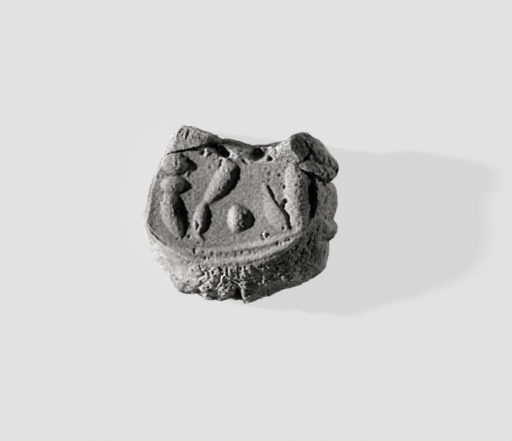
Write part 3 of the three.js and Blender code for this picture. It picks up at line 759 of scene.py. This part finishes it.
def stripes_around(points):
    x, y, z = points.T
    radius = np.hypot(y + STRIPE_AXIS, x) + drift(points, *STRIPE_DRIFT)
    along = np.arctan2(y + STRIPE_AXIS, x) * LUMP_RADIUS
    return fractal(np.stack([radius, along, z], axis=1), *STRIPE_NOISE)


def clay_detail(points, normals, field_share, rough_share):
    """Displacement of the clay along its normals, in millimetres."""
    u, v = photo_places(points)
    shown = ease(*SHOWN, normals[:, 2])
    crumbled = np.clip(blobs(CRUMBLED, u, v), 0, 1) * shown
    striped = np.clip(blobs(STRIPED, u, v), 0, 1) * shown * (1 - field_share)
    smooth = np.clip(blobs(SMOOTH, u, v) * shown, 0, 1)
    rough = rough_share * (ROUGH_HIDDEN + ROUGH_SHOWN * shown) * (1 - field_share)
    rough = np.clip(rough + crumbled, 0, 1) * (1 - SMOOTH_CALM * smooth)
    to_the_right = ease(*TO_THE_RIGHT, normals[:, 0])
    grained = MOTIF_LEFT_SHARE + (1 - MOTIF_LEFT_SHARE) * to_the_right
    motif = ease(*MOTIF_RISES, motif_rise(u, v)) * field_share * grained

    out = SWELL_RISE * rough_share * fractal(points, *SWELL_NOISE) * (1 - FIELD_CALM * field_share)
    out += LUMP_RISE * rough * fractal(points, *LUMP_NOISE)
    for grain, (everywhere, on_motifs, where_rough) in FINE_LAYERS:
        out += (everywhere + on_motifs * motif + where_rough * rough) * fractal(points, *grain)
    out += CRUMB_RISE * crumbled * fractal(points, *CRUMB_NOISE)
    broken = np.clip(crumbled + BLOCKS_IN_ROUGH * rough, 0, 1)
    for layer in broken_blocks(points):
        out += broken * layer
    pit_share = np.clip(rough + PITS_EVERYWHERE + PITS_ON_MOTIFS * motif, 0, 1)
    out -= PIT_DEPTH * scattered_pits(points) * pit_share
    out += STRIPE_RISE * striped * stripes_around(points)
    out *= 1 - SMOOTH_EASE * smooth

    outside = shown * (1 - field_share)
    out += outside * RIDGE_SHARE * highest(FLANK_FORMS, u, v, FLANK_POWER)
    cut = lowest(FLANK_FORMS, u, v, FLANK_POWER) - pitted(FLANK_PITS, u, v)
    out += outside * CUT_SHARE * cut
    return out


# The front pad's top. Edges are in pixels, heights in millimetres, the rest parts of a normal or shares.
TOP_EDGE = (-1.5, 1.0)
TOP_DEPTH = 2.9  # points deeper than this stay
UNDERSIDE, UNDERSIDE_DEPTH = -0.3, 1.2  # so do those that face down deeper than this
OPEN_EDGE_TOP = 150  # above this row the edge is broken, and keeps its shape
OPEN_EDGE_NORMAL = -0.2
LOBE_LEFT, LOBE_FOOT = 262, 182  # the lobe covers the edge right of this column and above this row
LIFT_SHARE = 0.6
LIFT_NORMALS = (0.1, 0.4)
LIFT_HEIGHTS = (SEAM + 0.5, SEAM + 1.5)
LIFT_COLUMNS = (185, 205)
FILL_RISE, FILL_DEPTH = 0.35, 2.2
FILL_NORMALS = (0.3, 0.8)


def pad_top(piece):
    """Sets the stamped top of the front pad, and rounds its edge off into the flank."""
    points, normals = surface_of(piece)
    u, v = photo_places(points)
    z, up = points[:, 2], normals[:, 2]
    inside = side_of(SHOULDER, u, v)
    share = ease(*TOP_EDGE, inside) * (z > FIELD - TOP_DEPTH)
    share *= (up > UNDERSIDE) | (z > FIELD - UNDERSIDE_DEPTH)
    z += share * (stamped_level(u, v, points) - z)

    out = np.clip(-inside, 0, None)
    slope = FIELD + EDGE_LEVEL - PIXEL * EDGE_SLOPE * out**2 / (out + EDGE_ROUND)
    under_lobe = (u > LOBE_LEFT) & (v < LOBE_FOOT)
    open_edge = (inside < 0) & (v > OPEN_EDGE_TOP) & ~under_lobe & (up > OPEN_EDGE_NORMAL)
    z[open_edge] = np.minimum(z, slope)[open_edge]
    lifted = open_edge * ease(*LIFT_NORMALS, up) * ease(*LIFT_HEIGHTS, z) * ease(*LIFT_COLUMNS, u)
    z += LIFT_SHARE * lifted * (slope - z)

    fill = FILL_RISE * blobs(LOBE_SEAM, u, v) * (1 - ease(*FILL_NORMALS, up))
    fill *= z > FIELD - FILL_DEPTH
    points += normals * fill[:, None]
    set_places(piece, points)


# The lobe's top, in the same units
RAGGED = [(1.0, 0.9, 55), (0.8, 0.4, 56)]  # drifts along its crest, with their rise in pixels
LOBE_EDGE = (-0.3, 1.5)
LOBE_NORMALS = (0.0, 0.3)
LOBE_LOWEST = 2.2  # below the field
STEP_DEPTH = 0.5
STEP_SHARES = (0.3, 0.7)
GROW_RISE = 0.3  # the sides grow, so that the lobe meets the pad
GROW_EDGE = (3.0, 7.0)
GROW_NORMALS = (0.3, 0.8)
STREAK_NOISE = ((2.6, 0.45, 0.8), 2, 53, 0.7)
STREAK_RISE = 0.11
STREAK_EDGE = (0, 8)
STREAK_DRIFT = (0.8, 2.0, 51)


def lobe_streaks(points):
    """Fine streaks of the lobe, from the upper left to the lower right."""
    x, y, z = points.T
    across = x - y + drift(points, *STREAK_DRIFT)
    return fractal(np.stack([across, x + y, z], axis=1), *STREAK_NOISE)


def lobe_top(piece):
    """Gives the lobe its sharp crest, its long fall to the right, its furrows and its folds."""
    points, normals = surface_of(piece)
    u, v = photo_places(points)
    z, up = points[:, 2], normals[:, 2]
    ragged = sum(drift(points, *row) for row in RAGGED)
    right = (u - np.interp(v, LOBE_ROWS, LOBE_CREST_U)) * LOBE_SLANT + ragged
    level = FIELD + np.interp(v, LOBE_ROWS, LOBE_CREST_LEVEL)
    level -= np.interp(right, *np.array(LOBE_FALL).T)
    level += np.minimum(right, 0) * PIXEL * np.interp(v, LOBE_ROWS, LOBE_LEFT_SLOPE)
    level += sum(swept(form, u, v) for form in LOBE_STROKES)
    level += STREAK_RISE * lobe_streaks(points) * ease(*STREAK_EDGE, right)
    edge = side_of(OUTLINE, u, v)
    step = blobs(LOBE_STEP, u, v) * (z > FIELD - STEP_DEPTH)
    inside = ease(*LOBE_EDGE, edge) * np.maximum(ease(*LOBE_NORMALS, up), ease(*STEP_SHARES, step))
    z += inside * (np.maximum(level, FIELD - LOBE_LOWEST) - z)
    grow = GROW_RISE * ease(*GROW_EDGE, edge) * (1 - ease(*GROW_NORMALS, up))
    points += normals * grow[:, None]
    set_places(piece, points)


# The flake's top, in the same units
FLAKE_RISE, FLAKE_TILT, FLAKE_MIDDLE = 0.75, 0.08, 190
FLAKE_DROP = 2.2
FLAKE_DROP_COLUMNS = (209, 216)
FLAKE_EDGE = (0.3, 3.0)
FLAKE_NORMALS = (0.1, 0.5)
WALL_GROWTH = 0.05
CRACK_WALL_GROWTH = 0.1  # more, on the wall along the crack
CRACK_WALL = (0.2, 0.8)
LIP_REACH = 0.35
LIP_NORMALS = (0.0, 0.5)


def flake_top(piece):
    """Tilts the flake's top, drops its right end and gives it its slits, its pits and its lip."""
    points, normals = surface_of(piece)
    u, v = photo_places(points)
    level = FIELD + FLAKE_RISE + FLAKE_TILT * (u - FLAKE_MIDDLE) * PIXEL
    level -= FLAKE_DROP * ease(*FLAKE_DROP_COLUMNS, u)
    level += sum(swept(form, u, v, FLANK_POWER) for form in FLAKE_FORMS)
    level -= pitted(FLAKE_PITS, u, v)
    inside = ease(*FLAKE_EDGE, side_of(OUTLINE, u, v)) * ease(*FLAKE_NORMALS, normals[:, 2])
    points[:, 2] += inside * (level - points[:, 2])
    down = -normals[:, 1]
    growth = WALL_GROWTH + CRACK_WALL_GROWTH * ease(*CRACK_WALL, down)
    points[:, :2] += growth[:, None] * normals[:, :2]
    points[:, 1] -= LIP_REACH * blobs(FLAKE_LIP, u, v) * ease(*LIP_NORMALS, down)
    set_places(piece, points)


# The seam between the pads, in millimetres and shares
SEAM_BAND = 0.25
SEAM_REACH = 0.7  # from the back pad's edge at the seam to its widest part
SEAM_FADE = (SEAM + 2.2, SEAM)
SEAM_NEAR_EDGE = (0.5, 0.9)
SEAM_OVERLAP, SEAM_RECESS, SEAM_DROP = 0.12, 0.1, 0.3
LEAST_REACH = 1  # keeps the division sound at the middle


def smear_seam(front_piece, back_piece):
    """Draws the foot of the front pad out over the seam, but for where the seam shows."""
    upper, lower = places_of(front_piece), places_of(back_piece)
    want = reach_of(lower[lower[:, 2] > SEAM - SEAM_BAND])
    want += SEAM_REACH * (reach_of(lower) - want)
    have = reach_of(upper[upper[:, 2] < SEAM + SEAM_BAND])
    x, y, z = upper.T
    degrees = np.degrees(np.arctan2(y, x))
    turn = degrees / 360 % 1
    gap = around(turn, want - have)
    hidden = 1 - np.interp(degrees, SEAM_DIRECTIONS, SEAM_SHARES)
    low = ease(*SEAM_FADE, z)
    reach = np.hypot(x, y)
    near_edge = ease(*SEAM_NEAR_EDGE, reach / around(turn, have))
    push = low * near_edge * (hidden * (gap + SEAM_OVERLAP) - (1 - hidden) * SEAM_RECESS)
    upper[:, :2] *= (1 + push / np.maximum(reach, LEAST_REACH))[:, None]
    z -= SEAM_DROP * hidden * near_edge * low
    set_places(front_piece, upper)


# The finish of a piece
FIELD_EDGE, FIELD_DEPTH = (-1.5, 2.0), 2.2  # where the field's fine texture begins, in pixels and millimetres
# Painted highlights on what stands proud and painted shade in what lies deep, fine and broad, and the range
# of that painted share
PAINTED_LIGHT_NORMALS = (-0.2, 0.4)
FINE_PAINTED_LIGHT, FINE_PAINTED_LIGHT_SHOWN, FINE_ROUNDS, FINE_RISE = 0.1, 0.2, 3, 0.012
BROAD_PAINTED_LIGHT, BROAD_ROUNDS, BROAD_RISE = 0.25, 30, 0.12
PAINTED_LIGHT_RANGE = (0.25, 2)


def texture(piece, on_field, rough_share):
    points, normals = surface_of(piece)
    on_top = points[:, 2] > FIELD - FIELD_DEPTH
    field = on_field * ease(*FIELD_EDGE, side_of(SHOULDER, *photo_places(points))) * on_top
    points += normals * clay_detail(points, normals, field, rough_share)[:, None]
    points[:, 2] = np.maximum(points[:, 2], 0)
    set_places(piece, points)


def proud(piece, rounds, rise):
    """How far each point stands above its smoothed surroundings, from -1 to 1 as a share of a rise."""
    points, normals = surface_of(piece)
    relax(piece, rounds)
    above = np.sum((points - places_of(piece)) * normals, axis=1)
    set_places(piece, points)
    return np.clip(above / rise, -1, 1)


def painted_light_and_shade(piece):
    """Painted highlights on what stands proud and painted shade in what lies deep, with the painted light and
    shade of the listed zones, as a share for the material.
    """
    points, normals = surface_of(piece)
    upward = ease(*PAINTED_LIGHT_NORMALS, normals[:, 2])
    shares = (FINE_PAINTED_LIGHT + FINE_PAINTED_LIGHT_SHOWN * upward) * proud(piece, FINE_ROUNDS, FINE_RISE)
    shares += BROAD_PAINTED_LIGHT * proud(piece, BROAD_ROUNDS, BROAD_RISE)
    shares += blobs(PAINTED_LIGHT_ZONES, *photo_places(points)) * upward
    values = np.clip(1 + shares, *PAINTED_LIGHT_RANGE).astype(np.float32)
    piece.data.attributes.new("painted_light_and_shade", "FLOAT", "POINT").data.foreach_set("value", values)


def finish_piece(piece, node, slot):
    """Turns the piece into metres, gives it the material of its slot and puts it in its node's place."""
    set_places(piece, places_of(piece) * METRES)
    piece.data.materials.append(MATERIALS[slot])
    piece.data.shade_smooth()
    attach(piece, "root")
    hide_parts(node)


# Materials: two tones of each slot, and the share of the bump that it has
CLAY_DARK, CLAY_LIGHT = (0.19, 0.188, 0.182), (0.25, 0.247, 0.241)
SLOTS = {
    "front_clay": (CLAY_DARK, CLAY_LIGHT, 1.0),
    "back_clay": ((0.2, 0.198, 0.192), (0.26, 0.257, 0.251), 1.0),
    "lobe_clay": ((0.18, 0.178, 0.173), (0.24, 0.237, 0.231), 1.0),
    "flake_clay": (CLAY_DARK, CLAY_LIGHT, 1.0),
    "grit": ((0.36, 0.357, 0.35), (0.45, 0.447, 0.44), 0.5),
}
ROUGHNESS, SPECULAR = 0.95, 0.15
NOISE_ROUGHNESS = 0.6

# Noises of the materials, with their scale for each metre. The stops of the speckle are (place, grey).
TONE_SCALE, TONE_DETAIL, TONE_STOPS = 260, 4, (0.3, 0.7)
SPECKLE_SCALE, SPECKLE_DETAIL = 3400, 2
SPECKLE_STOPS = [(0.3, 0.78), (0.5, 1), (0.72, 1.12)]
BUMP_SCALE, BUMP_DETAIL, BUMP_ROUGHNESS = 3600, 5, 0.7
BUMP_STRENGTH, BUMP_DISTANCE = 0.9, 0.00007  # a share, and metres


def feed(node, inputs):
    """Sets a node's inputs, by name or number, and links those that are given as another node's output."""
    for key, value in inputs.items():
        if isinstance(value, bpy.types.NodeSocket):
            node.id_data.links.new(value, node.inputs[key])
        else:
            node.inputs[key].default_value = value
    return node


def clay_material(name, dark, light, bump_share):
    """Dry clay: two tones that drift, fine speckles, the painted light and shade of each place and a grainy
    bump.
    """
    material = bpy.data.materials.new(name)
    material.use_nodes = True
    nodes = material.node_tree.nodes
    place = nodes.new("ShaderNodeTexCoord").outputs["Object"]

    def noise_node(scale, detail, rough=NOISE_ROUGHNESS):
        node = nodes.new("ShaderNodeTexNoise")
        feed(node, {"Vector": place, "Scale": scale, "Detail": detail, "Roughness": rough})
        return node.outputs["Fac"]

    def ramp(value, stops):
        node = feed(nodes.new("ShaderNodeValToRGB"), {"Fac": value})
        elements = node.color_ramp.elements
        while len(elements) < len(stops):
            elements.new(0.5)
        for element, (at, colour) in zip(elements, stops):
            element.position = at
            element.color = (*colour, 1)
        return node.outputs["Color"]

    tones = ramp(noise_node(TONE_SCALE, TONE_DETAIL), list(zip(TONE_STOPS, (dark, light))))
    greys = [(at, (grey, grey, grey)) for at, grey in SPECKLE_STOPS]
    speckle = ramp(noise_node(SPECKLE_SCALE, SPECKLE_DETAIL), greys)
    mix = nodes.new("ShaderNodeMix")
    mix.data_type = "RGBA"
    mix.blend_type = "MULTIPLY"
    feed(mix, {"Factor": 1, "A": tones, "B": speckle})
    # The painted light and shade of each place scales the colour
    painted_light_share = nodes.new("ShaderNodeAttribute")
    painted_light_share.attribute_name = "painted_light_and_shade"
    light_painted_colour = nodes.new("ShaderNodeVectorMath")
    light_painted_colour.operation = "SCALE"
    feed(light_painted_colour, {0: mix.outputs["Result"], "Scale": painted_light_share.outputs["Fac"]})
    height = noise_node(BUMP_SCALE, BUMP_DETAIL, BUMP_ROUGHNESS)
    bump = nodes.new("ShaderNodeBump")
    feed(bump, {"Strength": BUMP_STRENGTH * bump_share, "Distance": BUMP_DISTANCE, "Height": height})
    shader = feed(nodes["Principled BSDF"], {"Roughness": ROUGHNESS, "Specular IOR Level": SPECULAR})
    feed(shader, {"Base Color": light_painted_colour.outputs["Vector"], "Normal": bump.outputs["Normal"]})
    return material


MATERIALS = {slot: clay_material(slot, *looks) for slot, looks in SLOTS.items()}

# The masses of clay
COARSE_ROUNDS = 3
HIDDEN_HEIGHT, HIDDEN_NORMAL, HIDDEN_RATIO = 1, -0.7, 0.6  # the front pad's underside, above the seam
LOBE_ROUGHNESS = 0.6

back = copy_of("back_clay_pad")
front = copy_of("front_clay_pad")
lobe = copy_of("folded_clay_lobe")
flake = copy_of("cracked_corner_flake")
masses = [back, front, lobe, flake]
for mass in masses:
    remesh(mass, COARSE)
    relax(mass, COARSE_ROUNDS)
    set_places(mass, bent(places_of(mass)))
fit = Fit(masses)
for mass in masses:
    places = fit(places_of(mass))
    places[:, 1] += PIXEL * blobs(CRACK_SHIFT, *photo_places(places))
    set_places(mass, places)

pad_top(front)
smear_seam(front, back)
lobe_top(lobe)
flake_top(flake)
remesh(front, FINE)
relax(front, 1)
remesh(lobe, FINE)
remesh(flake, FINE)
remesh(back, FINE_BACK)
front_places, front_normals = surface_of(front)
underside = (front_places[:, 2] < SEAM + HIDDEN_HEIGHT) & (front_normals[:, 2] < HIDDEN_NORMAL)
thin(front, underside, HIDDEN_RATIO)
for mass in masses:
    texture(mass, mass is front, LOBE_ROUGHNESS if mass is lobe else 1)
    painted_light_and_shade(mass)

finish_piece(back, "back_clay_pad", "back_clay")
finish_piece(front, "front_clay_pad", "front_clay")
finish_piece(lobe, "folded_clay_lobe", "lobe_clay")
finish_piece(flake, "cracked_corner_flake", "flake_clay")

# The pale grits
GRIT_NOISE, GRIT_RISE = (0.35, 2, 2), 0.06

for node in ("grit_by_middle_ball", "grit_by_broken_edge", "grit_at_foot"):
    grain = copy_of(node)
    remesh(grain, FINE_GRIT)
    points, normals = surface_of(grain)
    set_places(grain, points + normals * (GRIT_RISE * fractal(points, *GRIT_NOISE))[:, None])
    painted_light_and_shade(grain)
    finish_piece(grain, node, "grit")

# Floor, lights and camera, in metres, but for the lens and the sensor in millimetres
FLOOR_HALF = 0.4
FLOOR_GREY, FLOOR_ROUGHNESS, FLOOR_SPECULAR = 0.78, 0.9, 0.1
GLOW_GREY, GLOW_SHARE = 0.745, 0.9
LAMP_DISTANCE = 0.3
LENS, SENSOR = 300, 36
CLIP_NEAR, CLIP_FAR = 0.01, 5
FRAMED_LEVEL = (SEAM + 1.5) * METRES  # the level at which the outline has its true size in the picture
WORLD_STRENGTH = 0.006


def floor():
    """A pale sheet that shows the shadow. To the camera, mirrors and glass most of it is an even glow."""
    mesh = bpy.data.meshes.new("floor")
    corners = [(-1, -1), (1, -1), (1, 1), (-1, 1)]
    mesh.from_pydata([(x * FLOOR_HALF, y * FLOOR_HALF, 0) for x, y in corners], [], [(0, 1, 2, 3)])
    material = bpy.data.materials.new("pale_floor")
    material.use_nodes = True
    nodes = material.node_tree.nodes
    looks = {"Roughness": FLOOR_ROUGHNESS, "Specular IOR Level": FLOOR_SPECULAR}
    shader = feed(nodes["Principled BSDF"], {"Base Color": (FLOOR_GREY, FLOOR_GREY, FLOOR_GREY, 1), **looks})
    glow = feed(nodes.new("ShaderNodeEmission"), {"Color": (GLOW_GREY, GLOW_GREY, GLOW_GREY, 1)})

    def combined(operation, first, second):
        node = nodes.new("ShaderNodeMath")
        node.operation = operation
        return feed(node, {0: first, 1: second}).outputs[0]

    path = nodes.new("ShaderNodeLightPath").outputs
    seen = combined("MAXIMUM", path["Is Camera Ray"], path["Is Glossy Ray"])
    seen = combined("MAXIMUM", seen, path["Is Transmission Ray"])
    mix = nodes.new("ShaderNodeMixShader")
    feed(mix, {0: combined("MULTIPLY", seen, GLOW_SHARE), 1: shader.outputs["BSDF"]})
    feed(mix, {2: glow.outputs["Emission"]})
    feed(nodes["Material Output"], {"Surface": mix.outputs["Shader"]})
    mesh.materials.append(material)
    sheet = add_object("floor", mesh)


def sun(name, towards, elevation, strength, angle):
    """A lamp that stands in a direction in plan, in degrees anticlockwise from +X, at an elevation."""
    lamp = bpy.data.lights.new(name, "SUN")
    lamp.energy = strength
    lamp.angle = math.radians(angle)
    turn, lift = math.radians(towards), math.radians(elevation)
    away = Vector((math.cos(turn) * math.cos(lift), math.sin(turn) * math.cos(lift), math.sin(lift)))
    stand = add_object(name, lamp)
    stand.rotation_mode = "QUATERNION"
    stand.rotation_quaternion = away.to_track_quat("Z", "Y")
    stand.location = away * LAMP_DISTANCE


def camera():
    """Straight above, with the object in the photograph's place."""
    data = bpy.data.cameras.new("camera")
    data.lens, data.sensor_width = LENS, SENSOR
    data.clip_start, data.clip_end = CLIP_NEAR, CLIP_FAR
    distance = PHOTO_WIDTH * PIXEL * METRES * LENS / SENSOR
    eye = add_object("camera", data)
    eye.location = (
        (PHOTO_WIDTH / 2 - MIDDLE_U) * PIXEL * METRES,
        (MIDDLE_V - PHOTO_HEIGHT / 2) * PIXEL * METRES,
        FRAMED_LEVEL + distance,
    )
    bpy.context.scene.camera = eye


floor()
sun("key", towards=171, elevation=21.5, strength=9.0, angle=2.5)
sun("low_fill", towards=28, elevation=2.0, strength=1.7, angle=4)
camera()

world = bpy.data.worlds.new("studio")
world.use_nodes = True
feed(world.node_tree.nodes["Background"], {"Color": (1, 1, 1, 1), "Strength": WORLD_STRENGTH})
bpy.context.scene.world = world
bpy.context.scene.view_settings.view_transform = "Standard"
